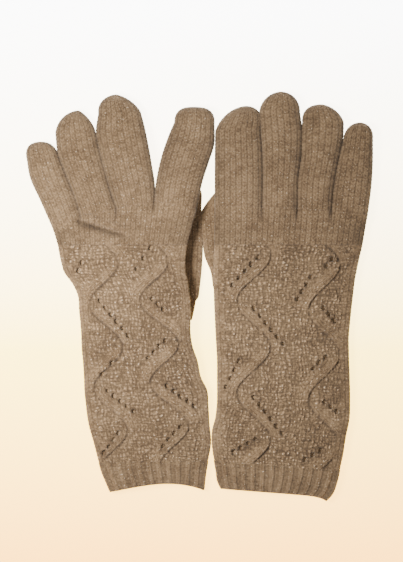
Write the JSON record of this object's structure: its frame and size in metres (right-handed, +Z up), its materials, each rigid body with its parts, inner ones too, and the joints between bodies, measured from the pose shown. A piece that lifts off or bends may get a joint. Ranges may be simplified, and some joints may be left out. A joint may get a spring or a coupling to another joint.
{
  "type": "pair of knitted gloves",
  "caption": "Pair of long knitted gloves lying flat, with ribbed cuffs, lace gauntlets, plain palms and fingers that fold, and thumbs tucked under the palms.",
  "frame": {"origin": "under the middle of the pair, on the surface it lies on", "axes": "+X to the right across the pair, +Y from the cuffs to the fingertips, +Z up off the surface"},
  "size_m": [0.2269, 0.2681, 0.0158],
  "materials": {
    "plain_yarn": "fine stocking stitch, softly brushed with light flecks",
    "lace_yarn": "eyelet lace in moss stitch with raised travelling bands",
    "ribbed_yarn": "single rib",
    "seam_yarn": "linked seam of the same yarn"
  },
  "bodies": {
    "left_hand": {"left_lace_wrist": "lace_yarn", "left_palm": "plain_yarn", "left_thumb_gusset": "plain_yarn", "left_palm_seam": "seam_yarn", "left_finger_webs": "seam_yarn"},
    "left_gauntlet": {"left_lace_gauntlet": "lace_yarn", "left_rib_cuff": "ribbed_yarn", "left_gauntlet_seam": "seam_yarn"},
    "left_thumb": {"left_thumb": "plain_yarn"},
    "left_little_finger": {"left_little_finger": "plain_yarn"},
    "left_ring_finger": {"left_ring_finger": "plain_yarn"},
    "left_middle_finger": {"left_middle_finger": "plain_yarn"},
    "left_index_finger": {"left_index_finger": "plain_yarn"},
    "right_hand": {"right_lace_wrist": "lace_yarn", "right_palm": "plain_yarn", "right_thumb_gusset": "plain_yarn", "right_palm_seam": "seam_yarn", "right_finger_webs": "seam_yarn"},
    "right_gauntlet": {"right_lace_gauntlet": "lace_yarn", "right_rib_cuff": "ribbed_yarn", "right_gauntlet_seam": "seam_yarn"},
    "right_thumb": {"right_thumb": "plain_yarn"},
    "right_index_finger": {"right_index_finger": "plain_yarn"},
    "right_middle_finger": {"right_middle_finger": "plain_yarn"},
    "right_ring_finger": {"right_ring_finger": "plain_yarn"},
    "right_little_finger": {"right_little_finger": "plain_yarn"}
  },
  "joints": [
    {"name": "pair_slide", "type": "slide", "parent": "left_hand", "child": "right_hand", "axis": [1, 0, 0], "range_m": [0, 0.12]},
    {"name": "left_wrist_fold", "type": "hinge", "parent": "left_hand", "child": "left_gauntlet", "pos_m": [-0.04229, -0.01415, 0.01062], "axis": [-0.9976, 0, -0.0698], "range_deg": [0, 90]},
    {"name": "left_little_fold", "type": "hinge", "parent": "left_hand", "child": "left_little_finger", "pos_m": [-0.08957, 0.05417, 0.00767], "axis": [0.941, 0.3384, 0], "range_deg": [0, 90]},
    {"name": "left_ring_fold", "type": "hinge", "parent": "left_hand", "child": "left_ring_finger", "pos_m": [-0.06755, 0.06046, 0.00943], "axis": [0.9785, 0.2064, 0], "range_deg": [0, 90]},
    {"name": "left_middle_fold", "type": "hinge", "parent": "left_hand", "child": "left_middle_finger", "pos_m": [-0.04252, 0.06561, 0.01143], "axis": [0.9825, 0.1861, 0], "range_deg": [0, 90]},
    {"name": "left_index_fold", "type": "hinge", "parent": "left_hand", "child": "left_index_finger", "pos_m": [-0.0142, 0.0659, 0.01365], "axis": [0.9861, -0.166, 0], "range_deg": [0, 90]},
    {"name": "left_thumb_swing", "type": "hinge", "parent": "left_hand", "child": "left_thumb", "pos_m": [-0.0114, 0.006, 0.0018], "axis": [0, 0, -1], "range_deg": [0, 45]},
    {"name": "right_wrist_fold", "type": "hinge", "parent": "right_hand", "child": "right_gauntlet", "pos_m": [0.05456, -0.01415, 0.01092], "axis": [-0.998, 0, 0.0628], "range_deg": [0, 90]},
    {"name": "right_index_fold", "type": "hinge", "parent": "right_hand", "child": "right_index_finger", "pos_m": [0.02549, 0.06462, 0.01338], "axis": [0.9988, -0.0482, 0], "range_deg": [0, 90]},
    {"name": "right_middle_fold", "type": "hinge", "parent": "right_hand", "child": "right_middle_finger", "pos_m": [0.05271, 0.06349, 0.01132], "axis": [1, -0.0085, 0], "range_deg": [0, 90]},
    {"name": "right_ring_fold", "type": "hinge", "parent": "right_hand", "child": "right_ring_finger", "pos_m": [0.07569, 0.06237, 0.00957], "axis": [0.9968, -0.0797, 0], "range_deg": [0, 90]},
    {"name": "right_little_fold", "type": "hinge", "parent": "right_hand", "child": "right_little_finger", "pos_m": [0.09889, 0.05983, 0.00779], "axis": [0.9922, -0.1245, 0], "range_deg": [0, 90]},
    {"name": "right_thumb_swing", "type": "hinge", "parent": "right_hand", "child": "right_thumb", "pos_m": [0.019, 0.01, 0.0018], "axis": [0, 0, 1], "range_deg": [0, 45]}
  ],
  "couplings": [
    {"joint": "left_thumb_swing", "follows": "pair_slide", "rad_per_m": 6.5449},
    {"joint": "right_thumb_swing", "follows": "pair_slide", "rad_per_m": 6.5449}
  ]
}
